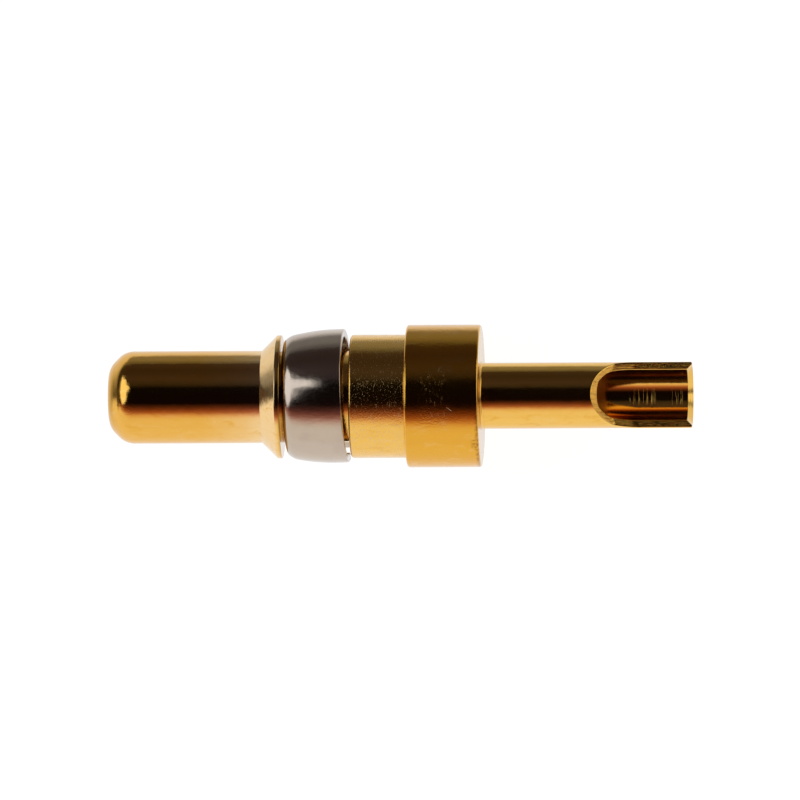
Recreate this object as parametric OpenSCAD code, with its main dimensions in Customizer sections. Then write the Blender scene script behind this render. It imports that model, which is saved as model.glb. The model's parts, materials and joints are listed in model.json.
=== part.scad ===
// Straight high-power contact for a mixed-layout D-shaped connector: a turned,
// gold-plated body with a milled solder cup, and a split spring clip that lies
// loose in the body's groove. The axis runs along X with the nose towards -X.
// The origin is on the axis at the flange's front face, where the contact stops
// in its cavity. +Z looks out of the open side of the solder cup.

/* [Mating pin] */
// Diameter of the mating pin
pin_d = 3.6; // [3:0.05:4]
// Length of the pin, from its tip to the start of the rim's cone
pin_l = 5.98; // [4:0.02:9]
// Size of the 45 degree chamfer on the nose
nose_chamfer = 0.65; // [0.5:0.01:0.9]
// Radius that blends both edges of the nose chamfer
nose_blend = 0.83; // [0.2:0.01:1]

/* [Barrel and groove] */
// Diameter of the barrel and of the rim in front of the groove
barrel_d = 4.8; // [4.5:0.05:5.2]
// Length of the barrel, from the groove to the flange
barrel_l = 2.18; // [1.5:0.01:4]
// Length of the clip's groove
groove_l = 2.69; // [2.3:0.01:4]
// Depth of the clip's groove below the barrel
groove_depth = 0.62; // [0.55:0.01:0.8]
// Length of the rim's cylindrical land
rim_l = 0.19; // [0.12:0.01:0.6]
// Angle of the rim's lead-in cone from the axis
rim_angle = 45; // [30:1:60]

/* [Flange] */
// Diameter of the flange
flange_d = 5.55; // [5.4:0.05:7]
// Length of the flange
flange_l = 2.89; // [1:0.01:5]

/* [Solder tail] */
// Diameter of the tail
tail_d = 2.57; // [2.3:0.01:3.2]
// Length of the tail behind the flange
tail_l = 8.2; // [6:0.1:12]
// Diameter of the hole for the wire
bore_d = 1.95; // [1.5:0.01:2.05]
// Depth of the hole at its full diameter
bore_depth = 4.6; // [3:0.05:5]
// Included angle of the drill point at the bottom of the hole
bore_point = 118; // [90:1:140]
// Size of the 45 degree chamfer at the mouth of the hole
mouth_chamfer = 0.2; // [0.05:0.01:0.22]
// Length of the cup's opening along the top of the tail
cup_l = 3.9; // [3.4:0.05:5.5]
// Radius of the tapered cutter that opened the cup, at the top of the tail
cup_cutter_r = 3.2; // [2.6:0.05:4]
// Angle of the cutter's flank from level
cup_flank = 53; // [45:1:70]
// Height above the axis at which the cutter's flank turns into its foot
cup_foot_z = 0.45; // [0.35:0.01:0.6]
// Angle of the cutter's foot from level
cup_foot = 28; // [20:1:40]
// Height above the axis at which the cutter ran
cup_floor = 0.08; // [0:0.01:0.3]

/* [Spring clip] */
// Thickness of the clip's sheet
clip_t = 0.3; // [0.2:0.01:0.34]
// How far the clip's rear edge stands proud of the barrel
clip_stand = 0.2; // [0.14:0.01:0.25]
// Length of the straight stretch behind the clip's widest line
clip_lip = 0.35; // [0.2:0.01:0.5]
// Outer radius of the curl at the clip's front
clip_curl_r = 0.77; // [0.5:0.01:0.9]
// Angle that the sheet has turned inwards at its front edge
clip_curl = 46; // [35:1:55]
// Radial clearance between the clip's front edge and the groove's floor
clip_floor_gap = 0.23; // [0.2:0.01:0.3]
// Axial clearance at each end of the clip, where it comes closest
clip_end_gap = 0.045; // [0.03:0.005:0.1]
// Width of the split
slit_w = 1; // [0.2:0.05:1.5]
// Where the split is, in degrees about the axis from +Z towards +Y
slit_turn = 240; // [0:1:359]
// Angle at which the loose clip leans in its groove
clip_lean = 2.8; // [0:0.1:3]
// Which way the clip's rear leans, in degrees about the axis from +Y towards +Z
clip_lean_turn = 55; // [0:1:359]

/* [Edges] */
// Radius on the flange's two edges and on the barrel's front edge
edge_r = 0.1; // [0.02:0.01:0.2]
// Radius on the rim's edges and on the end of the tail
fine_edge_r = 0.05; // [0.01:0.01:0.06]
// Radius on the clip's rear edges
clip_edge_r = 0.06; // [0.01:0.01:0.08]
// Fillet at the tail's root
root_r = 0.1; // [0.02:0.01:0.3]

/* [Hidden] */
$fn = 96;

// Overrun of every cut past the solid that it opens
over = 1;

pin_r = pin_d / 2;
barrel_r = barrel_d / 2;
groove_r = barrel_r - groove_depth;
flange_r = flange_d / 2;
tail_r = tail_d / 2;
bore_r = bore_d / 2;

// Stations along the axis, from the flange's front face to the tip and to the tail's end
groove_rear_x = -barrel_l;
groove_front_x = groove_rear_x - groove_l;
rim_x = groove_front_x - rim_l;
cone_x = rim_x - (barrel_r - pin_r) / tan(rim_angle);
tip_x = cone_x - pin_l;
tail_x = flange_l + tail_l;

// Stations of the hole and of the cutter's last position
bore_end_x = tail_x - bore_depth;
bore_tip_x = bore_end_x - bore_r / tan(bore_point / 2);
cutter_x = tail_x - cup_l + cup_cutter_r;

// Radii of the cutter where its flank ends and where its foot ends
cutter_foot_r = cup_cutter_r - (tail_r - cup_foot_z) / tan(cup_flank);
cutter_floor_r = cutter_foot_r - (cup_foot_z - cup_floor) / tan(cup_foot);

// The turned outline as [radius, station, blend radius of that corner]
turned_outline = [
    [0, tip_x, 0],
    [pin_r - nose_chamfer, tip_x, nose_blend],
    [pin_r, tip_x + nose_chamfer, nose_blend],
    [pin_r, cone_x, 0],
    [barrel_r, rim_x, fine_edge_r],
    [barrel_r, groove_front_x, fine_edge_r],
    [groove_r, groove_front_x, 0],
    [groove_r, groove_rear_x, 0],
    [barrel_r, groove_rear_x, edge_r],
    [barrel_r, 0, 0],
    [flange_r, 0, edge_r],
    [flange_r, flange_l, edge_r],
    [tail_r, flange_l, root_r],
    [tail_r, tail_x, fine_edge_r],
    [0, tail_x, 0]
];

// The clip's sheet is a crown arc that runs into a tighter curl at the front. Its
// outside starts level with the axis at the widest line and drops to the front edge
// over crown_run and crown_drop, which fixes the crown's angle and radius.
clip_r = barrel_r + clip_stand;
clip_l = (groove_l - 2 * clip_end_gap - 2 * clip_r * sin(clip_lean)) / cos(clip_lean);
clip_mid_x = groove_rear_x - groove_l / 2;
clip_front_r = groove_r + clip_floor_gap + clip_t * cos(clip_curl);
crown_run = clip_l - clip_lip;
crown_drop = clip_r - clip_front_r;
curl_limit_r = 0.9 * crown_drop / (1 - cos(clip_curl));
curl_r = min(clip_curl_r, curl_limit_r);
crown_rest_run = crown_run - curl_r * sin(clip_curl);
crown_rest_drop = crown_drop - curl_r * (1 - cos(clip_curl));
crown_turn = 2 * atan(crown_rest_drop / crown_rest_run);
crown_r = curl_r + crown_rest_run / sin(crown_turn);
crown_centre = [clip_r - crown_r, clip_l / 2 - clip_lip];
curl_centre = crown_centre + (crown_r - curl_r) * [cos(crown_turn), -sin(crown_turn)];

// Steps that each of the sheet's two arcs is drawn in
arc_steps = 10;

function unit(v) = v / norm(v);

function cross_2d(u, v) = u[0] * v[1] - u[1] * v[0];

function flat(p) = [p[0], p[1]];

// True where the outline, which runs anticlockwise, turns left at corner i
function turns_left(p, i) = cross_2d(flat(p[i] - p[i - 1]), flat(p[i + 1] - p[i])) > 0;

function reversed(p) = [for (i = [len(p) - 1 : -1 : 0]) p[i]];

// Outline points on an arc, at angles from the radial direction towards the nose. Its last
// point is left out where two arcs meet, so that no point is doubled.
function arc(centre, r, from, to) = [
    for (i = [0 : arc_steps - (to > 0 ? 1 : 0)])
        let (a = from + (to - from) * i / arc_steps)
        [centre[0] + r * cos(a), centre[1] - r * sin(a), 0]
];

// What lies between a corner and the arc of radius r that touches both its sides
module corner_sliver(before, at, after, r) {
    u = unit(before - at);
    v = unit(after - at);
    half = acos(u * v) / 2;
    run = r / tan(half);
    centre = at + unit(u + v) * r / sin(half);
    difference() {
        polygon([at, at + run * u, centre, at + run * v]);
        translate(centre) circle(r);
    }
}

module corner_slivers(p, left) {
    for (i = [1 : len(p) - 2]) {
        if (p[i][2] > 0 && turns_left(p, i) == left) {
            corner_sliver(flat(p[i - 1]), flat(p[i]), flat(p[i + 1]), p[i][2]);
        }
    }
}

// An outline with its outer corners rounded and its inner corners filled
module blended(p) {
    difference() {
        union() {
            polygon([for (c = p) flat(c)]);
            corner_slivers(p, false);
        }
        corner_slivers(p, true);
    }
}

// A section of radius against station, turned about X
module turned_on_x() {
    rotate([0, 90, 0]) rotate_extrude() children();
}

// The hole starts its turn at the top, where the cutter opens it
module wire_hole() {
    rotate([180, 0, 0]) turned_on_x() polygon([
        [0, bore_tip_x],
        [bore_r, bore_end_x],
        [bore_r, tail_x - mouth_chamfer],
        [bore_r + mouth_chamfer + over, tail_x + over],
        [0, tail_x + over]
    ]);
}

// The cutter stands upright where it stopped, and the box is its way out past the tail
module cup_cut() {
    translate([cutter_x, 0, 0]) rotate_extrude() polygon([
        [0, cup_floor],
        [cutter_floor_r, cup_floor],
        [cutter_foot_r, cup_foot_z],
        [cup_cutter_r + over / tan(cup_flank), tail_r + over],
        [0, tail_r + over]
    ]);
    translate([cutter_x, -tail_r - over, cup_floor])
        cube([tail_x + over - cutter_x, 2 * (tail_r + over), tail_r + over]);
}

module contact_body() {
    color([0.83, 0.62, 0.22]) difference() {
        turned_on_x() blended(turned_outline);
        wire_hole();
        cup_cut();
    }
}

// One face of the clip's sheet, from its front edge to its rear edge, at a depth below the outside
function sheet_face(depth) = concat(
    arc(curl_centre, curl_r - depth, clip_curl, crown_turn),
    arc(crown_centre, crown_r - depth, crown_turn, 0),
    [[clip_r - depth, clip_l / 2, clip_edge_r]]
);

module clip_section() {
    blended(concat(sheet_face(0), reversed(sheet_face(clip_t))));
}

module retaining_clip() {
    color([0.62, 0.6, 0.58])
    translate([clip_mid_x, 0, 0])
    rotate([clip_lean_turn, 0, 0]) rotate([0, 0, clip_lean]) rotate([-clip_lean_turn, 0, 0])
    difference() {
        turned_on_x() clip_section();
        rotate([-slit_turn, 0, 0]) translate([-clip_l, -slit_w / 2, 0])
            cube([2 * clip_l, slit_w, clip_r + over]);
    }
}

contact_body();
retaining_clip();
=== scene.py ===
"""Looks of a straight power contact: a turned, gold-plated body with a milled solder cup, and the
split spring clip that lies loose in its groove. The axis runs along X, with the nose towards -X."""

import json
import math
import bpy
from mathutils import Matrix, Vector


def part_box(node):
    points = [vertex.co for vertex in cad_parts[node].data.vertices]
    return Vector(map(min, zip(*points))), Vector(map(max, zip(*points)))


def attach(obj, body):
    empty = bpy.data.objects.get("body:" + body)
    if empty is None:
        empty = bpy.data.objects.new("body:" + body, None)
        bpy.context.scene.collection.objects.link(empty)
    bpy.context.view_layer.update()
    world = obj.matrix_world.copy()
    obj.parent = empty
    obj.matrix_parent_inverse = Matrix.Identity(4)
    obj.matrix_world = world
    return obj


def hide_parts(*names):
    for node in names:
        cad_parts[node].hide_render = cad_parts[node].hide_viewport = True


bl_info = {
    "name": "Power Contact",
    "version": (1, 0, 0),
    "blender": (4, 5, 0),
    "location": "View3D > Sidebar > Contact",
    "description": "Models and finishes a turned power contact and its spring clip",
    "category": "Add Mesh",
}

import bmesh
import bpy
from bpy.props import FloatProperty, FloatVectorProperty, PointerProperty
from bpy.types import Operator, Panel, PropertyGroup
from mathutils import Matrix, Vector

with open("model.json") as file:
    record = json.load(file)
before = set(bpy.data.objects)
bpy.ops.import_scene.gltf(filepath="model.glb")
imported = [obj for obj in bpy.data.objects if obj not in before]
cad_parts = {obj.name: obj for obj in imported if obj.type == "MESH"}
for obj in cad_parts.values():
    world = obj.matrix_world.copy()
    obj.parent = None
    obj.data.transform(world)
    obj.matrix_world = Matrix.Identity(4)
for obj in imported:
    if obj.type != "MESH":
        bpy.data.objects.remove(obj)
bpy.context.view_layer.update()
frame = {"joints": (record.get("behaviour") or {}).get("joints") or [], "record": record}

MM = 0.001

# Width of the picture in pixels, and how many of them show a millimetre
PICTURE_PX = 800
PX_PER_MM = 25.69

# What the frame fixes: the interfaces, the body's ends and the clip's place on the axis
MOUNTS = {mount["name"]: mount for mount in frame["record"]["mounts"]}
BODY_LOW, BODY_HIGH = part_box("contact_body")
CLIP_X = next(j["pos_m"][0] for j in frame["joints"] if j["name"] == "clip_spin")

# Fineness of the meshes
ARC_TURN = math.radians(7)
HALF_TURN_STEPS = 80
CLIP_STEPS = 192
CLIP_ARC_STEPS = 14
ARC_HOLD = 0.02 * MM
SHARP_TURN = math.radians(32)
MERGE = 2e-8


def length(name, description, millimetres):
    """A length that is written in millimetres and kept in metres."""
    return FloatProperty(
        name=name, description=description, default=millimetres * MM, unit="LENGTH", precision=6
    )


def angle(name, description, degrees):
    """An angle that is written in degrees and kept in radians."""
    return FloatProperty(
        name=name, description=description, default=math.radians(degrees), subtype="ANGLE"
    )


def colour(name, description, value):
    """A linear colour."""
    return FloatVectorProperty(
        name=name, description=description, default=value, subtype="COLOR", size=3, min=0.0
    )


def share(name, description, value):
    """A plain number between nothing and a whole."""
    return FloatProperty(
        name=name, description=description, default=value, min=0.0, max=1.0, subtype="FACTOR"
    )


class BodySizes(PropertyGroup):
    """Sizes of the turned and milled body."""

    pin_r: length("Pin radius", "Radius of the mating pin", MOUNTS["mating_pin"]["dims"]["r_mm"])
    nose_chamfer: length("Nose chamfer", "Size of the 45 degree chamfer on the nose", 0.65)
    nose_blend: length("Nose blend", "Radius that blends both edges of the nose chamfer", 0.83)
    barrel_r: length("Barrel radius", "Radius of the barrel and of the rim before the groove", 2.4)
    barrel_l: length("Barrel length", "Length of the barrel, from the groove to the flange", 2.18)
    groove_l: length("Groove length", "Length of the clip's groove", 2.69)
    groove_depth: length("Groove depth", "Depth of the clip's groove below the barrel", 0.62)
    rim_l: length("Rim length", "Length of the rim's cylindrical land", 0.19)
    rim_angle: angle("Rim angle", "Angle of the rim's lead-in cone from the axis", 45)
    flange_r: length("Flange radius", "Radius of the stop flange", BODY_HIGH.z / MM)
    flange_l: length("Flange length", "Length of the stop flange", 2.89)
    tail_r: length("Tail radius", "Radius of the solder tail", 1.285)
    bore_r: length("Bore radius", "Radius of the wire hole", MOUNTS["solder_cup"]["dims"]["r_mm"])
    bore_depth: length("Bore depth", "Depth of the wire hole at its full diameter", 4.6)
    bore_point: angle("Drill point", "Included angle at the bottom of the wire hole", 118)
    mouth_chamfer: length("Mouth chamfer", "Size of the chamfer at the mouth of the hole", 0.2)
    cup_l: length("Cup length", "Length of the cup's opening along the top of the tail", 3.9)
    cup_cutter_r: length("Cutter radius", "Radius of the cutter at the top of the tail", 3.2)
    cup_flank: angle("Cutter flank", "Angle of the cutter's flank from level", 53)
    cup_foot_z: length("Cutter foot", "Height at which the cutter's flank turns into its foot", 0.45)
    cup_foot: angle("Foot angle", "Angle of the cutter's foot from level", 28)
    cup_floor: length("Cup floor", "Height above the axis at which the cutter ran", 0.08)
    cup_edge_r: length("Cup edge", "Radius that the plating leaves on the milled edges", 0.05)
    edge_r: length("Edge", "Radius on the flange's edges and the barrel's front edge", 0.1)
    fine_edge_r: length("Fine edge", "Radius on the rim's edges and on the end of the tail", 0.05)
    root_r: length("Root fillet", "Fillet at the tail's root", 0.1)
    corner_r: length("Corner fillet", "Fillet that the plating leaves behind the barrel", 0.03)


class ClipSizes(PropertyGroup):
    """Sizes of the rolled and split spring clip."""

    sheet_t: length("Sheet", "Thickness of the clip's sheet", 0.3)
    stand: length("Stand", "How far the rear edge stands proud of the barrel", 0.2)
    lip: length("Lip", "Length of the straight stretch behind the widest line", 0.35)
    curl_r: length("Curl radius", "Outer radius of the curl at the front", 0.77)
    curl: angle("Curl", "Angle that the sheet has turned inwards at its front edge", 46)
    floor_gap: length("Floor gap", "Clearance between the front edge and the groove's floor", 0.23)
    end_gap: length("End gap", "Clearance at each end where the clip comes closest", 0.045)
    slit_w: length("Slit", "Width of the split", 1)
    slit_turn: angle("Slit place", "Where the split is, about the axis from +Z towards +Y", 240)
    lean: angle("Lean", "Angle at which the loose clip leans in its groove", 2.8)
    lean_turn: angle("Lean place", "Which way the rear leans, from +Y towards +Z", 55)
    edge_r: length("Rear edge", "Radius on the rear edges", 0.06)
    front_edge_r: length("Front edge", "Radius on the front edges", 0.02)
    slit_edge: length("Slit edge", "Width of the broken edges along the split", 0.012)


class FinishColours(PropertyGroup):
    """Colours and roughness of the two metals."""

    gold: colour("Gold", "Gold plating on the pin", (0.8, 0.43, 0.078))
    gold_pale: colour("Pale gold", "Plating on the rim's cone and before it", (0.87, 0.59, 0.275))
    gold_rich: colour("Rich gold", "Plating on the flange", (0.755, 0.38, 0.045))
    gold_light: colour("Light gold", "Plating on the barrel and the tail", (0.85, 0.495, 0.105))
    # Dark gold: painted shade in the groove's front corner, where the clip and the rim shade it, and
    # also the wear on the flange's rear edge
    gold_shade_and_wear: colour("Dim gold", "Plating in the groove's corner and on worn edges", (0.3, 0.12, 0.02))
    speck: colour("Speck", "Small dark specks in the plating", (0.1, 0.045, 0.015))
    # Pale grey of the pits, smears and scratch: partly real marks and partly a painted glint, for the
    # whitish highlights that these marks catch on the gold
    pit_and_glint: colour("Pit", "Grey of the pits and scratches in the plating", (0.58, 0.49, 0.42))
    nickel: colour("Nickel", "Warm grey of the spring sheet", (0.53, 0.425, 0.325))
    nickel_dull: colour("Dull nickel", "Duller patches of the spring sheet", (0.49, 0.385, 0.3))
    gold_roughness: share("Gold roughness", "Roughness of the turned plating", 0.1)
    milled_roughness: share("Milled roughness", "Roughness of the milled faces", 0.18)
    nickel_roughness: share("Nickel roughness", "Roughness of the spring sheet", 0.13)


class StudioSettings(PropertyGroup):
    """The floor, the light tent and the camera."""

    floor_half: length("Floor", "Half the width of the floor", 600)
    view_tilt: angle("View tilt", "How far the camera leans from straight above towards +X", 3.5)
    view_lean: angle("View lean", "How far the camera leans from straight above towards -Y", 3)
    view_roll: angle("View roll", "How far the contact's tail is turned up in the picture", 0.28)
    view_distance: length("View distance", "Distance of the camera from the contact's axis", 900)
    view_width: length("View width", "Width that the picture shows at the axis", PICTURE_PX / PX_PER_MM)
    aim_right: length("Aim right", "How far right of the middle the flange's front face is", 0.29)
    aim_up: length("Aim up", "How far above the middle the axis is at the flange", 0.148)
    sensor_width: length("Sensor", "Width of the camera's sensor", 36)


class Term:
    """A shader socket that takes part in arithmetic: each operation adds a Math node."""

    def __init__(self, sheet, socket):
        self.sheet = sheet
        self.socket = socket

    def __add__(self, other):
        return self.sheet.math("ADD", self, other)

    def __sub__(self, other):
        return self.sheet.math("SUBTRACT", self, other)

    def __rsub__(self, other):
        return self.sheet.math("SUBTRACT", other, self)

    def __mul__(self, other):
        return self.sheet.math("MULTIPLY", self, other)

    def __truediv__(self, other):
        return self.sheet.math("DIVIDE", self, other)

    def __neg__(self):
        return self * -1.0

    __radd__ = __add__
    __rmul__ = __mul__


class NodeSheet:
    """Adds nodes to one node tree."""

    def __init__(self, tree):
        self.tree = tree
        tree.nodes.clear()

    def node(self, kind, settings, inputs, outlet=0):
        """A node with its settings made and its sockets filled or linked. Gives one output."""
        made = self.tree.nodes.new(kind)
        for name, value in settings.items():
            if name == "stops":
                set_stops(made.color_ramp, value)
            else:
                setattr(made, name, value)
        for key, value in inputs.items():
            if isinstance(value, Term):
                self.tree.links.new(value.socket, made.inputs[key])
            else:
                made.inputs[key].default_value = value
        if outlet is None:
            return None
        return Term(self, made.outputs[outlet])

    def math(self, operation, *values):
        """A Math node."""
        return self.node("ShaderNodeMath", {"operation": operation}, dict(enumerate(values)))

    def fade(self, value, low, high):
        """Rises smoothly from 0 at low to 1 at high."""
        return self.node(
            "ShaderNodeMapRange",
            {"interpolation_type": "SMOOTHSTEP"},
            {"Value": value, "From Min": low, "From Max": high},
        )

    def near(self, value, middle, full, none):
        """1 within a distance of full from the middle, falling smoothly to 0 at none."""
        return 1.0 - self.fade(self.math("ABSOLUTE", value - middle), full, none)

    def mixed(self, factor, first, second):
        """A colour between two colours."""
        inputs = {0: factor, 6: rgba(first), 7: rgba(second)}
        return self.node("ShaderNodeMix", {"data_type": "RGBA"}, inputs, 2)

    def axes(self, vector):
        """The three numbers of a vector."""
        return [self.node("ShaderNodeSeparateXYZ", {}, {"Vector": vector}, axis) for axis in "XYZ"]

    def place(self):
        """Where a point is on the piece, in millimetres."""
        point = self.node("ShaderNodeTexCoord", {}, {}, "Object")
        return self.node(
            "ShaderNodeVectorMath", {"operation": "SCALE"}, {"Vector": point, "Scale": 1 / MM}
        )

    def stretch(self, vector, factors):
        """A vector with each of its numbers times a factor."""
        return self.node("ShaderNodeVectorMath", {"operation": "MULTIPLY"}, {0: vector, 1: factors})

    def noise(self, vector, scale, detail=2.0, roughness=0.5, swirl=0.0):
        """Soft noise about one half."""
        inputs = {
            "Vector": vector, "Scale": scale, "Detail": detail, "Roughness": roughness,
            "Distortion": swirl,
        }
        return self.node("ShaderNodeTexNoise", {}, inputs, "Fac")

    def bump(self, micrometres):
        """A surface normal bent by a height in micrometres."""
        return self.node("ShaderNodeBump", {}, {"Height": micrometres, "Distance": 1e-6}, "Normal")


def rgba(value):
    """A colour socket's value for a colour of three numbers. A linked colour stays as it is."""
    return value if isinstance(value, Term) else (*value, 1.0)


def set_stops(ramp, stops):
    """Gives a colour ramp its stops, as pairs of position and colour."""
    while len(ramp.elements) > 1:
        ramp.elements.remove(ramp.elements[-1])
    for i, (position, value) in enumerate(stops):
        element = ramp.elements[0] if i == 0 else ramp.elements.new(position)
        element.position = position
        element.color = rgba(value)


def new_finish(name):
    """An empty material and the sheet of its nodes."""
    material = bpy.data.materials.new(name)
    material.use_nodes = True
    return material, NodeSheet(material.node_tree)


def metal(sheet, base, roughness, normal):
    """The metal shader that every finish ends in."""
    inputs = {"Base Color": base, "Metallic": 1.0, "Roughness": roughness, "Normal": normal}
    shader = sheet.node("ShaderNodeBsdfPrincipled", {}, inputs)
    sheet.node("ShaderNodeOutputMaterial", {}, {"Surface": shader}, None)


def specks(sheet, place, per_mm, radius, kept):
    """Small round dots of different strengths, of which only a share is kept."""
    inputs = {"Vector": place, "Scale": per_mm}
    distance = sheet.node("ShaderNodeTexVoronoi", {}, inputs, "Distance")
    pick = sheet.node("ShaderNodeTexVoronoi", {}, inputs, "Color")
    chance = sheet.axes(pick)[0]
    dot = 1.0 - sheet.fade(distance, 0.5 * radius * per_mm, radius * per_mm)
    return dot * sheet.fade(chance, 1.0 - kept, 1.0)


def scratch(sheet, place):
    """A short scratch on the flange's top."""
    middle_x, middle_y = 1.77, -0.67
    turn = math.radians(39)
    x, y, up = sheet.axes(place)
    along = (x - middle_x) * math.cos(turn) - (y - middle_y) * math.sin(turn)
    off = (x - middle_x) * math.sin(turn) + (y - middle_y) * math.cos(turn)
    line = sheet.near(off, 0.0, 0.008, 0.024) * sheet.near(along, 0.0, 0.09, 0.14)
    return line * sheet.fade(up, 2.0, 2.2)


def edge_wear(sheet, place, flange_l):
    """Wear on the flange's rear edge: a rubbed line on the side towards -Y, and a group of chips."""
    along, across, _ = sheet.axes(place)
    spots = sheet.fade(sheet.noise(place, 7.0, detail=3.0, roughness=0.65), 0.42, 0.62)
    before_edge = 1.0 - sheet.fade(along, flange_l - 0.05, flange_l + 0.05)
    line = sheet.fade(along, flange_l - 0.19, flange_l - 0.07) * sheet.fade(across, -0.5, -0.9)
    rubbed = line * (0.3 + 0.7 * spots)
    inputs = {0: place, 1: (flange_l - 0.15, -1.98, 1.94)}
    distance = sheet.node("ShaderNodeVectorMath", {"operation": "DISTANCE"}, inputs, "Value")
    group = sheet.fade(along, flange_l - 0.4, flange_l - 0.08)
    chips = group * (1.0 - sheet.fade(distance, 0.15, 0.45)) * spots
    return before_edge * sheet.math("MAXIMUM", 0.9 * chips, 0.7 * rubbed)


def plating_tones(colours, body):
    """How the plating's tone changes along the contact, as (station, colour) pairs, with a painted
    shade in the groove's front corner.
    """
    step = 0.03 * MM
    groove_x = -body.barrel_l - body.groove_l
    rim_x = groove_x - body.rim_l
    cone_x = rim_x - (body.barrel_r - body.pin_r) / math.tan(body.rim_angle)
    pin_gold_x = cone_x - 2.3 * MM
    half_pale_x = cone_x - 0.6 * MM
    painted_shade_end_x = groove_x + 0.35 * MM
    groove_light_x = groove_x + 0.8 * MM
    half_pale = Vector(colours.gold).lerp(Vector(colours.gold_pale), 0.5)
    return [
        (pin_gold_x, colours.gold),
        (half_pale_x, half_pale),
        (cone_x, colours.gold_pale),
        (rim_x, colours.gold_pale),
        (groove_x - step, colours.gold_light),
        # Painted shade: the groove's front corner turns dark gold under the clip's curl, as if in the
        # shade of the clip and the rim
        (groove_x - 0.2 * step, colours.gold_shade_and_wear),
        (painted_shade_end_x, colours.gold_shade_and_wear),
        (groove_light_x, colours.gold_light),
        (-step, colours.gold_light),
        (step, colours.gold_rich),
        (body.flange_l - step, colours.gold_rich),
        (body.flange_l + step, colours.gold_light),
    ]


def plating_tone(sheet, along, colours, body):
    """The plating's colour at a station, before any marks."""
    low, high = BODY_LOW.x / MM, BODY_HIGH.x / MM
    stops = [((x / MM - low) / (high - low), tone) for x, tone in plating_tones(colours, body)]
    share_along = (along - low) / (high - low)
    return sheet.node("ShaderNodeValToRGB", {"stops": stops}, {"Fac": share_along}, "Color")


# Heights of the turned plating's relief in micrometres: the grain everywhere, what the barrel, the
# flange, its rubbed stretch and the nose add to it, and the other marks
GRAIN = 1.0
BARREL_GRAIN = 4.0
FLANGE_GRAIN = 2.0
RUBBED_GRAIN = 3.0
NOSE_GRAIN = 3.0
TURNED_RINGS = 0.5
SWELL = 4.0
PIT_DEPTH = 1.2
SCRATCH_DEPTH = 4.0


def turned_gold(colours, body):
    """Gold plating over a turned surface: fine rings, a grain that is coarser on the nose, the barrel
    and the flange, pits on the barrel, smears and a scratch on the flange's top, wear at its rear
    edge, soft marks and a few dark specks."""
    material, sheet = new_finish("turned_gold")
    place = sheet.place()
    along, _, up = sheet.axes(place)
    flange_l = body.flange_l / MM
    groove_end = -body.barrel_l / MM
    nose_end = BODY_LOW.x / MM + 1.24

    past_groove = sheet.fade(along, groove_end - 0.3, groove_end + 0.1)
    past_barrel = sheet.fade(along, -0.05, 0.05)
    on_barrel = past_groove * (1.0 - past_barrel)
    on_flange = past_barrel * (1.0 - sheet.fade(along, flange_l - 0.05, flange_l + 0.05))
    rubbed = on_flange * sheet.near(along, 1.2, 0.35, 0.8)
    on_nose = 1.0 - sheet.fade(along, nose_end - 0.3, nose_end)

    drawn_out = sheet.stretch(place, (1.0, 0.4, 0.4))
    dots = specks(sheet, drawn_out, per_mm=22.0, radius=0.017, kept=1.0)
    dashes = sheet.fade(sheet.noise(drawn_out, 24.0, detail=1.0), 0.56, 0.74)
    smears = sheet.fade(sheet.noise(drawn_out, 9.0, detail=3.0, roughness=0.7), 0.5, 0.72)
    pits = (0.7 * dots + 0.65 * dashes) * on_barrel
    pits = pits + 0.7 * smears * rubbed * sheet.fade(up, 2.45, 2.7)
    cut = scratch(sheet, place)

    rings = sheet.noise(sheet.stretch(place, (34.0, 0.45, 0.45)), 1.0, detail=3.0, roughness=0.6)
    grain = sheet.noise(place, 15.0, detail=3.0, roughness=0.6)
    swell = sheet.noise(place, 2.4, detail=1.0)
    coarse = GRAIN + BARREL_GRAIN * on_barrel + FLANGE_GRAIN * on_flange
    coarse = coarse + RUBBED_GRAIN * rubbed + NOSE_GRAIN * on_nose
    height = TURNED_RINGS * (rings - 0.5) + coarse * (grain - 0.5) + SWELL * (swell - 0.5)
    height = height - PIT_DEPTH * pits - SCRATCH_DEPTH * cut

    base = plating_tone(sheet, along, colours, body)
    lengthwise = sheet.stretch(place, (1.4, 3.6, 3.6))
    marks = sheet.noise(lengthwise, 1.0, detail=4.0, roughness=0.6, swirl=0.8)
    base = sheet.mixed(0.25 * sheet.fade(marks, 0.52, 0.75), base, colours.gold_pale)
    base = sheet.mixed(0.6 * sheet.fade(marks, 0.48, 0.25), base, colours.gold_rich)
    flecks = specks(sheet, sheet.stretch(place, (0.45, 1.0, 1.0)), per_mm=1.5, radius=0.032, kept=0.25)
    base = sheet.mixed(flecks, base, colours.speck)
    # Wear on the flange's rear edge, in the same dark gold that paints the groove's shade
    base = sheet.mixed(edge_wear(sheet, place, flange_l), base, colours.gold_shade_and_wear)
    # Painted glints: the pits, the flange's smears and the scratch are real dents, and their pale grey
    # stands in for the light they catch
    base = sheet.mixed(0.5 * pits + 0.8 * cut, base, colours.pit_and_glint)
    roughness = colours.gold_roughness + 0.03 * past_groove + 0.06 * (rings - 0.5)
    roughness = roughness + 0.25 * flecks + 0.3 * pits
    metal(sheet, base, roughness, sheet.bump(height))
    return material


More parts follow.
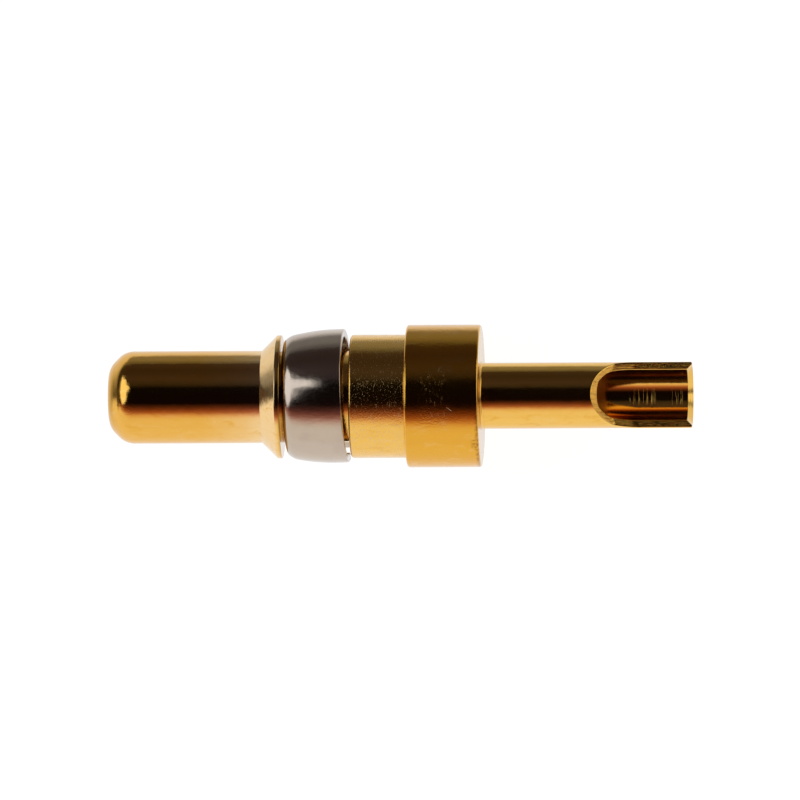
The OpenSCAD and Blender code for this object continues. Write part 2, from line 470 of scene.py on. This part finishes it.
def milled_gold(colours):
    """Gold plating over the cutter's marks: streaks along its way and a fine grain."""
    material, sheet = new_finish("milled_gold")
    place = sheet.place()
    streak_height, grain_height = 26.0, 8.0
    streaks = sheet.noise(sheet.stretch(place, (1.3, 16.0, 1.3)), 1.0, detail=3.0, roughness=0.65)
    grain = sheet.noise(place, 24.0, detail=3.0, roughness=0.65)
    stain = sheet.noise(sheet.stretch(place, (2.0, 14.0, 2.0)), 1.0, detail=3.0, roughness=0.65)
    height = streak_height * (streaks - 0.5) + grain_height * (grain - 0.5)
    base = sheet.mixed(0.6 * sheet.fade(stain, 0.45, 0.75), colours.gold, colours.speck)
    roughness = colours.milled_roughness + 0.2 * (grain - 0.5)
    metal(sheet, base, roughness, sheet.bump(height))
    return material


def drilled_gold(colours):
    """Gold plating in the drilled hole: rings that the drill's lips left along the bottom, in two
    groups, and a dull closed end."""
    material, sheet = new_finish("drilled_gold")
    place = sheet.place()
    along, across, _ = sheet.axes(place)
    depth = BODY_HIGH.x / MM - along
    ring_height, line_depth, grain_height = 0.8, 4.0, 0.8
    mouth_group = sheet.fade(depth, 0.29, 0.49) * (1.0 - sheet.fade(depth, 0.79, 0.99))
    deep_group = sheet.fade(depth, 1.39, 1.59) * (1.0 - sheet.fade(depth, 2.19, 2.59))
    closed_end = sheet.fade(depth, 3.29, 3.59)
    bottom = sheet.near(across, -0.02, 0.26, 0.36)
    rings = sheet.noise(sheet.stretch(place, (45.0, 0.5, 0.5)), 1.0, detail=1.0)
    lines = sheet.fade(rings, 0.56, 0.66) * (deep_group + 0.7 * mouth_group) * bottom
    grain = sheet.noise(place, 14.0)
    height = ring_height * (rings - 0.5) - line_depth * lines + grain_height * (grain - 0.5)
    roughness = colours.gold_roughness + 0.02 + 0.06 * (rings - 0.5) + 0.35 * closed_end
    base = sheet.mixed(0.3 * sheet.fade(rings, 0.5, 0.8), colours.gold_light, colours.gold)
    metal(sheet, base, roughness, sheet.bump(height))
    return material


def spring_nickel(colours):
    """Nickel-plated spring sheet: short wisps along the axis, a soft cloud, fine grain, shallow dents
    and a few dark specks."""
    material, sheet = new_finish("spring_nickel")
    place = sheet.place()
    wisp_height, dent_height = 1.6, 2.0
    wisps = sheet.noise(sheet.stretch(place, (2.4, 11.0, 11.0)), 1.0, detail=3.0, roughness=0.6)
    grain = sheet.noise(place, 20.0)
    dents = sheet.noise(place, 6.0, detail=1.0)
    swell = sheet.noise(place, 1.3, detail=1.0)
    height = wisp_height * (wisps - 0.5) + dent_height * (grain + dents + swell - 1.5)
    cloud = sheet.fade(sheet.noise(place, 0.8, detail=3.0, roughness=0.6), 0.35, 0.7)
    base = sheet.mixed(cloud, colours.nickel, colours.nickel_dull)
    flecks = specks(sheet, place, per_mm=1.6, radius=0.03, kept=0.15)
    base = sheet.mixed(0.7 * flecks, base, colours.speck)
    roughness = colours.nickel_roughness + 0.08 * (wisps - 0.5) + 0.03 * cloud
    metal(sheet, base, roughness, sheet.bump(height))
    return material


def rounded(outline):
    """The points of an outline of (x, radius, blend) corners, with an arc at each blended corner.
    A point is added just before and after each arc, so that smooth shading stays flat past it."""
    corners = [Vector((x, radius)) for x, radius, _ in outline]
    points = []
    for i, (at, (_, _, blend)) in enumerate(zip(corners, outline)):
        if not blend:
            points.append(at)
            continue
        back = (corners[i - 1] - at).normalized()
        ahead = (corners[(i + 1) % len(corners)] - at).normalized()
        half = back.angle(ahead) / 2
        run = blend / math.tan(half)
        hold = run + min(ARC_HOLD, 0.2 * blend)
        centre = at + (back + ahead).normalized() * blend / math.sin(half)
        start = at + back * run - centre
        turn = -start.angle_signed(at + ahead * run - centre)
        steps = max(2, math.ceil(abs(turn) / ARC_TURN))
        points.append(at + back * hold)
        points += [centre + Matrix.Rotation(turn * k / steps, 2) @ start for k in range(steps + 1)]
        points.append(at + ahead * hold)
    return points


def chain(bm, points, closed=False):
    """Vertices and edges along points of (x, radius), above the axis."""
    verts = [bm.verts.new((x, 0.0, radius)) for x, radius in points]
    ends = verts[1:] + verts[:1] if closed else verts[1:]
    return verts + [bm.edges.new(pair) for pair in zip(verts, ends)]


def skin(bm, rows, material=0):
    """A grid of faces through rows of points, which are all equally long."""
    across = len(rows) - 1
    along = len(rows[0]) - 1
    grid = bmesh.ops.create_grid(bm, x_segments=across, y_segments=along, size=1.0)["verts"]
    for vert in grid:
        row = round((vert.co.x + 1.0) / 2.0 * across)
        column = round((vert.co.y + 1.0) / 2.0 * along)
        vert.co = rows[row][column]
    for face in {face for vert in grid for face in vert.link_faces}:
        face.material_index = material


def evenly(first, last, steps):
    """Numbers from first to last."""
    return [first + (last - first) * i / steps for i in range(steps + 1)]


# Places of the finishes in the body's list of materials
TURNED, MILLED, DRILLED = range(3)


class SolderCup:
    """The end of the tail, which is drilled and milled open by a tapered cutter that stood upright.
    Its sections are those of the half with y above 0, from the bottom of the tail over the milled
    face to the bottom of the hole."""

    OUTER_EDGE_STEPS = 90
    INNER_EDGE_STEPS = 60
    WALL_STEPS = 16
    MOUTH_STEPS = 3
    END_EDGE_STEPS = 5
    CORNER_STEPS = 4
    RIM_STEPS = 8
    HALVINGS = 48

    def __init__(self, sizes):
        self.sizes = sizes
        self.end_x = BODY_HIGH.x
        self.start_x = self.end_x - sizes.cup_l
        self.cutter_x = self.start_x + sizes.cup_cutter_r
        self.foot_r = sizes.cup_cutter_r - (sizes.tail_r - sizes.cup_foot_z) / math.tan(sizes.cup_flank)
        self.floor_r = self.foot_r - (sizes.cup_foot_z - sizes.cup_floor) / math.tan(sizes.cup_foot)
        self.bore_end_x = self.end_x - sizes.bore_depth
        self.bore_tip_x = self.bore_end_x - sizes.bore_r / math.tan(sizes.bore_point / 2)
        self.mouth_x = self.end_x - sizes.mouth_chamfer
        self.open_x = self.cutter_x - self.cutter_radius(sizes.bore_r)

    def cutter_radius(self, height):
        """Radius of the cutter at a height."""
        if height > self.sizes.cup_foot_z:
            return self.foot_r + (height - self.sizes.cup_foot_z) / math.tan(self.sizes.cup_flank)
        return self.floor_r + (height - self.sizes.cup_floor) / math.tan(self.sizes.cup_foot)

    def cut(self, x, y):
        """Height of the milled face above a point, and its slope across the tail."""
        reach = math.hypot(min(0.0, x - self.cutter_x), y)
        rises = (self.sizes.cup_floor, self.floor_r, self.sizes.cup_foot)
        if reach > self.foot_r:
            rises = (self.sizes.cup_foot_z, self.foot_r, self.sizes.cup_flank)
        elif reach < self.floor_r:
            return self.sizes.cup_floor, 0.0
        height, radius, steepness = rises
        return height + (reach - radius) * math.tan(steepness), math.tan(steepness) * y / reach

    def bore_radius(self, x):
        """Radius of the hole at a station, from the drill point to the mouth's chamfer."""
        if x < self.bore_end_x:
            return self.sizes.bore_r * (x - self.bore_tip_x) / (self.bore_end_x - self.bore_tip_x)
        return self.sizes.bore_r + max(0.0, x - self.mouth_x)

    def tail_radius(self, x):
        """Radius of the tail at a station, with its end's rounded edge."""
        edge = self.sizes.fine_edge_r
        past = min(edge, max(0.0, x - (self.end_x - edge)))
        return self.sizes.tail_r - edge + math.sqrt(edge**2 - past**2)

    def edge_stations(self, radius, steps):
        """Stations along the milled edge of a cylinder, from its top to the cutter's floor."""
        turns = evenly(0.0, math.acos(self.sizes.cup_floor / radius), steps)
        reaches = [self.cutter_radius(radius * math.cos(a)) for a in turns]
        sides = [radius * math.sin(a) for a in turns]
        return [self.cutter_x - math.sqrt(reach**2 - y**2) for reach, y in zip(reaches, sides)]

    def stations(self):
        """Stations before and after the hole opens, closer where the cut's outline turns fast."""
        outer = self.edge_stations(self.sizes.tail_r, self.OUTER_EDGE_STEPS)
        before = [x for x in outer if x < self.open_x]
        inner = self.edge_stations(self.sizes.bore_r, self.INNER_EDGE_STEPS)
        edge_x = self.end_x - self.sizes.fine_edge_r
        after = inner + evenly(inner[-1], self.mouth_x, self.WALL_STEPS)[1:]
        after += evenly(self.mouth_x, edge_x, self.MOUTH_STEPS)[1:]
        turns = evenly(0.0, math.pi / 2, self.END_EDGE_STEPS)[1:]
        after += [edge_x + self.sizes.fine_edge_r * math.sin(a) for a in turns]
        return before + [self.open_x], [self.open_x] + after[1:]

    def edge_middle(self, x, radius, depth):
        """Where the middle of a rounded edge lies, as (y, z), and the milled face's tilt there: at
        a radius from the axis and at a depth below the milled face."""
        low, high = 0.0, radius
        for _ in range(self.HALVINGS):
            y = (low + high) / 2
            height, slope = self.cut(x, y)
            if height - depth * math.hypot(1.0, slope) < math.sqrt(radius**2 - y**2):
                low = y
            else:
                high = y
        return (low, math.sqrt(radius**2 - low**2)), math.atan(self.cut(x, low)[1])

    def arc(self, x, centre, radius, first, last, steps):
        """Points round a centre of (y, z), at angles from +Z towards +Y."""
        y, z = centre
        return [
            Vector((x, y + radius * math.sin(a), z + radius * math.cos(a)))
            for a in evenly(first, last, steps)
        ]

    def section(self, x):
        """The outside with its edge, the milled face, and the hole with its edge, at a station."""
        outer = self.tail_radius(x)
        inner = self.bore_radius(x)
        edge = min(self.sizes.cup_edge_r, 0.35 * (outer - inner))
        middle, tilt = self.edge_middle(x, outer - edge, edge)
        turn = math.atan2(*middle)
        outside = self.arc(x, (0.0, 0.0), outer, math.pi, turn, HALF_TURN_STEPS)
        corner = self.arc(x, middle, edge, turn, -tilt, self.CORNER_STEPS)
        top = self.cut(x, 0.0)[0]
        edge = min(edge, 0.5 * max(0.0, inner - top))
        middle, tilt, turn = (0.0, top), 0.0, 0.0
        if edge:
            middle, tilt = self.edge_middle(x, inner + edge, edge)
            turn = math.atan2(*middle)
        lip = self.arc(x, middle, edge, -tilt, turn - math.pi, self.CORNER_STEPS)
        across = evenly(corner[-1].y, lip[0].y, self.RIM_STEPS)[1:-1]
        face = [corner[-1]] + [Vector((x, y, self.cut(x, y)[0])) for y in across] + [lip[0]]
        hole = self.arc(x, (0.0, 0.0), inner, turn, math.pi, HALF_TURN_STEPS)
        return outside + corner[1:], face, lip, hole

    def build(self, bm):
        """Skins the half, closes the tail's end and mirrors it all."""
        before, after = self.stations()
        early = [self.section(x) for x in before]
        late = [self.section(x) for x in after]
        for part in (early, late):
            skin(bm, [outside for outside, _, _, _ in part], TURNED)
            skin(bm, [face for _, face, _, _ in part], MILLED)
        skin(bm, [lip for _, _, lip, _ in late], TURNED)
        skin(bm, [hole for _, _, _, hole in late], DRILLED)
        deep = [
            self.arc(x, (0.0, 0.0), self.bore_radius(x), 0.0, math.pi, HALF_TURN_STEPS)
            for x in (self.bore_tip_x, self.bore_end_x, self.open_x)
        ]
        skin(bm, deep, DRILLED)
        outside, face, lip, hole = late[-1]
        middle = self.RIM_STEPS // 2
        outer_half = outside + face[1:middle + 1]
        inner_half = (face[middle:-1] + lip + hole[1:])[::-1]
        skin(bm, [outer_half, inner_half], TURNED)
        geometry = bm.verts[:] + bm.edges[:] + bm.faces[:]
        bmesh.ops.mirror(bm, geom=geometry, matrix=Matrix.Identity(4), merge_dist=MERGE, axis="Y")


def turned_outline(s, end_x):
    """The turned outline from the tip to the solder cup, as (x, radius, blend) corners."""
    tip_x = BODY_LOW.x
    groove_rear_x = -s.barrel_l
    groove_front_x = groove_rear_x - s.groove_l
    groove_r = s.barrel_r - s.groove_depth
    rim_x = groove_front_x - s.rim_l
    cone_x = rim_x - (s.barrel_r - s.pin_r) / math.tan(s.rim_angle)
    return [
        (tip_x, 0.0, 0.0),
        (tip_x, s.pin_r - s.nose_chamfer, s.nose_blend),
        (tip_x + s.nose_chamfer, s.pin_r, s.nose_blend),
        (cone_x, s.pin_r, 0.0),
        (rim_x, s.barrel_r, s.fine_edge_r),
        (groove_front_x, s.barrel_r, s.fine_edge_r),
        (groove_front_x, groove_r, 0.0),
        (groove_rear_x, groove_r, 0.0),
        (groove_rear_x, s.barrel_r, s.edge_r),
        (0.0, s.barrel_r, s.corner_r),
        (0.0, s.flange_r, s.edge_r),
        (s.flange_l, s.flange_r, s.edge_r),
        (s.flange_l, s.tail_r, s.root_r),
        (end_x, s.tail_r, 0.0),
    ]


def clip_outline(clip, body):
    """The sheet's section about the clip's middle: a crown that runs into a tighter curl."""
    clip_r = body.barrel_r + clip.stand
    reach = body.groove_l - 2 * clip.end_gap - 2 * clip_r * math.sin(clip.lean)
    clip_l = reach / math.cos(clip.lean)
    groove_r = body.barrel_r - body.groove_depth
    front_r = groove_r + clip.floor_gap + clip.sheet_t * math.cos(clip.curl)
    rest_run = clip_l - clip.lip - clip.curl_r * math.sin(clip.curl)
    rest_drop = clip_r - front_r - clip.curl_r * (1 - math.cos(clip.curl))
    crown_turn = 2 * math.atan(rest_drop / rest_run)
    crown_r = clip.curl_r + rest_run / math.sin(crown_turn)
    crown = Vector((clip_l / 2 - clip.lip, clip_r - crown_r))
    towards = Vector((-math.sin(crown_turn), math.cos(crown_turn)))
    curl = crown + (crown_r - clip.curl_r) * towards

    def arc(centre, radius, first, last):
        """Points on a face of the sheet, at angles from the radial direction to the nose."""
        return [
            (centre.x - radius * math.sin(a), centre.y + radius * math.cos(a), 0.0)
            for a in evenly(first, last, CLIP_ARC_STEPS)
        ]

    def face(depth):
        """One face of the sheet from front to rear, at a depth below the outside."""
        front = arc(curl, clip.curl_r - depth, clip.curl, crown_turn)
        front[0] = (*front[0][:2], clip.front_edge_r)
        back = arc(crown, crown_r - depth, crown_turn, 0.0)[1:]
        return front + back + [(clip_l / 2, clip_r - depth, clip.edge_r)]

    return face(0.0) + face(clip.sheet_t)[::-1]


def finished(name, bm, materials, node, body):
    """Makes a mesh the visible piece for a node, on the body that carries it."""
    bmesh.ops.remove_doubles(bm, verts=bm.verts, dist=MERGE)
    bmesh.ops.recalc_face_normals(bm, faces=bm.faces)
    mesh = bpy.data.meshes.new(name)
    bm.to_mesh(mesh)
    bm.free()
    for material in materials:
        mesh.materials.append(material)
    mesh.shade_smooth()
    mesh.set_sharp_from_angle(angle=SHARP_TURN)
    piece = bpy.data.objects.new(name, mesh)
    bpy.context.scene.collection.objects.link(piece)
    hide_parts(node)
    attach(piece, body)


class CONTACT_OT_body(Operator):
    """Make the turned body with its milled solder cup"""

    bl_idname = "contact.body"
    bl_label = "Contact Body"

    def execute(self, context):
        sizes = context.scene.contact_body
        colours = context.scene.contact_colours
        bm = bmesh.new()
        cup = SolderCup(sizes)
        cup.build(bm)
        profile = chain(bm, rounded(turned_outline(sizes, cup.start_x)))
        bmesh.ops.spin(
            bm, geom=profile, cent=(0, 0, 0), axis=(1, 0, 0), dvec=(0, 0, 0),
            angle=2 * math.pi, steps=2 * HALF_TURN_STEPS, use_merge=True, use_duplicate=False,
        )
        finishes = [turned_gold(colours, sizes), milled_gold(colours), drilled_gold(colours)]
        finished("gold_contact_body", bm, finishes, "contact_body", "contact")
        return {"FINISHED"}


class CONTACT_OT_clip(Operator):
    """Make the rolled and split spring clip, leaning in its groove"""

    bl_idname = "contact.clip"
    bl_label = "Spring Clip"

    def execute(self, context):
        clip = context.scene.contact_clip
        body = context.scene.contact_body
        bm = bmesh.new()
        loop = chain(bm, rounded(clip_outline(clip, body)), closed=True)
        middle_r = body.barrel_r + clip.stand - clip.sheet_t / 2
        half_slit = math.asin(clip.slit_w / 2 / middle_r)
        bmesh.ops.rotate(
            bm, verts=bm.verts, cent=(0, 0, 0), matrix=Matrix.Rotation(-half_slit, 3, "X")
        )
        bmesh.ops.spin(
            bm, geom=loop, cent=(0, 0, 0), axis=(1, 0, 0), dvec=(0, 0, 0),
            angle=-2 * (math.pi - half_slit), steps=CLIP_STEPS, use_duplicate=False,
        )
        open_edges = [edge for edge in bm.edges if edge.is_boundary]
        ends = bmesh.ops.holes_fill(bm, edges=open_edges, sides=0)["faces"]
        bmesh.ops.bevel(
            bm, geom=list({edge for end in ends for edge in end.edges}), offset=clip.slit_edge,
            offset_type="OFFSET", affect="EDGES", segments=2, profile=0.5, material=-1,
        )
        lean_turn = Matrix.Rotation(clip.lean_turn, 4, "X")
        lean = lean_turn @ Matrix.Rotation(clip.lean, 4, "Z") @ lean_turn.inverted()
        seat = Matrix.Translation((CLIP_X, 0, 0)) @ lean @ Matrix.Rotation(-clip.slit_turn, 4, "X")
        bmesh.ops.transform(bm, matrix=seat, verts=bm.verts)
        finishes = [spring_nickel(context.scene.contact_colours)]
        finished("spring_clip", bm, finishes, "retaining_clip", "clip")
        return {"FINISHED"}


# Light of the tent from the zenith towards -Y, as pairs of degrees and colour
TENT_LIGHT = [
    (-90, (0.06, 0.046, 0.046)),
    (-67, (0.044, 0.032, 0.03)),
    (-42, (0.06, 0.046, 0.048)),
    (-31, (0.046, 0.038, 0.042)),
    (-20, (0.004, 0.003, 0.003)),
    (19, (0.005, 0.002, 0.002)),
    (27, (0.08, 0.028, 0.023)),
    (34, (0.21, 0.066, 0.05)),
    (42, (0.46, 0.19, 0.14)),
    (50, (0.85, 0.63, 0.57)),
    (58, (0.97, 0.94, 0.9)),
    (67, (1.0, 1.0, 1.0)),
    (90, (1.0, 1.0, 1.0)),
]
# Light at the tent's two ends, and on the -Y side towards the end at +X
END_LIGHT = (0.1, 0.08, 0.065)
TAIL_LIGHT = (0.42, 0.4, 0.38)

# The window, its narrow top and the low lamp: the directions of the corners in order, each a turn
# from +X towards +Y and an elevation, and the softness of the edges, all in degrees, with the colour
WINDOW_LIGHT = (1.3, 1.4, 1.55)
LAMPS = [
    (
        [(139, 13), (131, 36), (136, 46), (172, 61), (191, 57), (200, 47), (198, 29), (170, 18)],
        3, WINDOW_LIGHT,
    ),
    ([(137, 44), (127, 60), (142, 67), (160, 57)], 3, WINDOW_LIGHT),
    ([(42, -8), (-4, -8), (-4, 16), (12, 24), (42, 24)], 4, (1.1, 1.1, 1.1)),
]


def direction(turn, elevation):
    """The unit vector at a turn from +X towards +Y and an elevation, in degrees."""
    turn, elevation = math.radians(turn), math.radians(elevation)
    level = math.cos(elevation)
    return Vector((level * math.cos(turn), level * math.sin(turn), math.sin(elevation)))


def lamp_cover(sheet, towards, corners, softness):
    """1 where a direction lies within a lamp's corners, and 0 outside."""
    cover = 1.0
    soft = math.sin(math.radians(softness))
    for first, last in zip(corners, corners[1:] + corners[:1]):
        inward = direction(*last).cross(direction(*first)).normalized()
        inputs = {0: towards, 1: inward}
        side = sheet.node("ShaderNodeVectorMath", {"operation": "DOT_PRODUCT"}, inputs, "Value")
        cover = sheet.fade(side, -soft, soft) * cover
    return cover


def painted_tent(world):
    """A light tent: white towards -Y, dim towards +Y and at both ends, and black overhead, with a
    window towards the nose and a low lamp behind the tail. The camera sees plain white."""
    world.use_nodes = True
    sheet = NodeSheet(world.node_tree)
    towards = sheet.node("ShaderNodeTexCoord", {}, {}, "Generated")
    x, y, z = sheet.axes(towards)
    tilt = sheet.math("ARCTAN2", -y, z)
    stops = [((degrees + 90) / 180, light) for degrees, light in TENT_LIGHT]
    light = sheet.node("ShaderNodeValToRGB", {"stops": stops}, {"Fac": tilt / math.pi + 0.5}, "Color")
    tail_side = sheet.fade(x, 0.4, 0.75) * sheet.fade(tilt, math.radians(20), math.radians(60))
    light = sheet.mixed(tail_side, light, TAIL_LIGHT)
    ends = sheet.fade(sheet.math("ABSOLUTE", x), 0.93, 0.985)
    light = sheet.mixed(ends, light, END_LIGHT)
    for corners, softness, lamp_light in LAMPS:
        light = sheet.mixed(lamp_cover(sheet, towards, corners, softness), light, lamp_light)
    seen = sheet.node("ShaderNodeLightPath", {}, {}, "Is Camera Ray")
    light = sheet.mixed(seen, light, (1.0, 1.0, 1.0))
    background = sheet.node("ShaderNodeBackground", {}, {"Color": light})
    sheet.node("ShaderNodeOutputWorld", {}, {"Surface": background}, None)


# The floor's paper: its own grey, the light that is added for the camera, and how bright it mirrors
# in the metal
PAPER = (0.35, 0.35, 0.35)
SEEN_PAPER = (0.93, 0.93, 0.93)
MIRRORED_PAPER = (1.03, 1.05, 1.08)


def white_floor():
    """White paper that stays white to the camera with a soft shadow, and that mirrors in the metal
    as paper lit from -Y: bright there and close by, and dimmer towards +Y, -X and far towards +X,
    with the contact's own shadow painted in beside it towards +Y and before its nose."""
    material, sheet = new_finish("white_floor")
    x, y, _ = sheet.axes(sheet.place())
    ahead = -x - 0.25 * y
    # Painted shadow of the contact in the paper that the metal mirrors: beside it towards +Y, and
    # before its nose
    behind = 0.7 * sheet.fade(y - 7.0 * sheet.fade(ahead, 8.0, 14.0), 5.0, 8.4)
    far_behind = 0.45 * sheet.fade(y, 8.5, 45.0)
    before_nose = 0.6 * sheet.fade(ahead, 11.0, 27.0) + 0.28 * sheet.fade(ahead, 27.0, 75.0)
    past_tail = 0.8 * sheet.fade(x, 80.0, 200.0)
    unlit = 0.88 * (1.0 - behind) * (1.0 - far_behind) * (1.0 - before_nose) * (1.0 - past_tail)
    lit = sheet.fade(y, 1.0, -6.0)
    mirrored = sheet.mixed(lit + (1.0 - lit) * unlit, (0.0, 0.0, 0.0), MIRRORED_PAPER)
    glossy = sheet.node("ShaderNodeLightPath", {}, {}, "Is Glossy Ray")
    seen = sheet.node("ShaderNodeLightPath", {}, {}, "Is Camera Ray")
    paper = sheet.node("ShaderNodeBsdfDiffuse", {}, {"Color": rgba(PAPER)})
    white = sheet.node("ShaderNodeEmission", {}, {"Color": rgba(SEEN_PAPER), "Strength": seen})
    lit_paper = sheet.node("ShaderNodeAddShader", {}, {0: paper, 1: white})
    mirror = sheet.node("ShaderNodeEmission", {}, {"Color": mirrored})
    surface = sheet.node("ShaderNodeMixShader", {}, {0: glossy, 1: lit_paper, 2: mirror})
    sheet.node("ShaderNodeOutputMaterial", {}, {"Surface": surface}, None)
    return material


def aimed_camera(studio):
    """A camera with a long lens that looks down on the contact."""
    data = bpy.data.cameras.new("camera")
    camera = bpy.data.objects.new("camera", data)
    bpy.context.scene.collection.objects.link(camera)
    lean = Matrix.Rotation(studio.view_lean, 4, "X") @ Matrix.Rotation(studio.view_tilt, 4, "Y")
    turn = lean @ Matrix.Rotation(-studio.view_roll, 4, "Z")
    stand = Vector((-studio.aim_right, -studio.aim_up, studio.view_distance))
    camera.matrix_world = turn @ Matrix.Translation(stand)
    data.sensor_width = studio.sensor_width / MM
    data.lens = data.sensor_width * studio.view_distance / studio.view_width
    data.clip_start = 0.01
    data.clip_end = 10.0
    bpy.context.scene.camera = camera


class CONTACT_OT_studio(Operator):
    """Lay the floor, paint the light tent and aim the camera"""

    bl_idname = "contact.studio"
    bl_label = "Studio"

    def execute(self, context):
        studio = context.scene.contact_studio
        bm = bmesh.new()
        bmesh.ops.create_grid(bm, x_segments=1, y_segments=1, size=studio.floor_half)
        bmesh.ops.translate(bm, verts=bm.verts, vec=(0, 0, BODY_LOW.z))
        mesh = bpy.data.meshes.new("floor")
        bm.to_mesh(mesh)
        bm.free()
        mesh.materials.append(white_floor())
        floor = bpy.data.objects.new("floor", mesh)
        context.scene.collection.objects.link(floor)
        context.scene.world = bpy.data.worlds.new("light_tent")
        painted_tent(context.scene.world)
        aimed_camera(studio)
        context.scene.view_settings.view_transform = "Standard"
        return {"FINISHED"}


class CONTACT_PT_panel(Panel):
    """The contact's pieces, sizes and finishes"""

    bl_idname = "CONTACT_PT_panel"
    bl_label = "Power Contact"
    bl_space_type = "VIEW_3D"
    bl_region_type = "UI"
    bl_category = "Contact"

    def draw(self, context):
        for operator in OPERATORS:
            self.layout.operator(operator.bl_idname)
        for name, group in GROUPS.items():
            box = self.layout.box()
            for field in group.__annotations__:
                box.prop(getattr(context.scene, name), field)


GROUPS = {
    "contact_body": BodySizes,
    "contact_clip": ClipSizes,
    "contact_colours": FinishColours,
    "contact_studio": StudioSettings,
}
OPERATORS = (CONTACT_OT_body, CONTACT_OT_clip, CONTACT_OT_studio)


def register():
    """Adds the settings, the operators and the panel."""
    for name, group in GROUPS.items():
        bpy.utils.register_class(group)
        setattr(bpy.types.Scene, name, PointerProperty(type=group))
    for cls in (*OPERATORS, CONTACT_PT_panel):
        bpy.utils.register_class(cls)


def unregister():
    """Takes the panel, the operators and the settings away again."""
    for cls in (CONTACT_PT_panel, *reversed(OPERATORS)):
        bpy.utils.unregister_class(cls)
    for name, group in reversed(GROUPS.items()):
        delattr(bpy.types.Scene, name)
        bpy.utils.unregister_class(group)


def main():
    """Makes the pieces and the studio."""
    register()
    bpy.ops.contact.body()
    bpy.ops.contact.clip()
    bpy.ops.contact.studio()


if __name__ == "__main__":
    main()
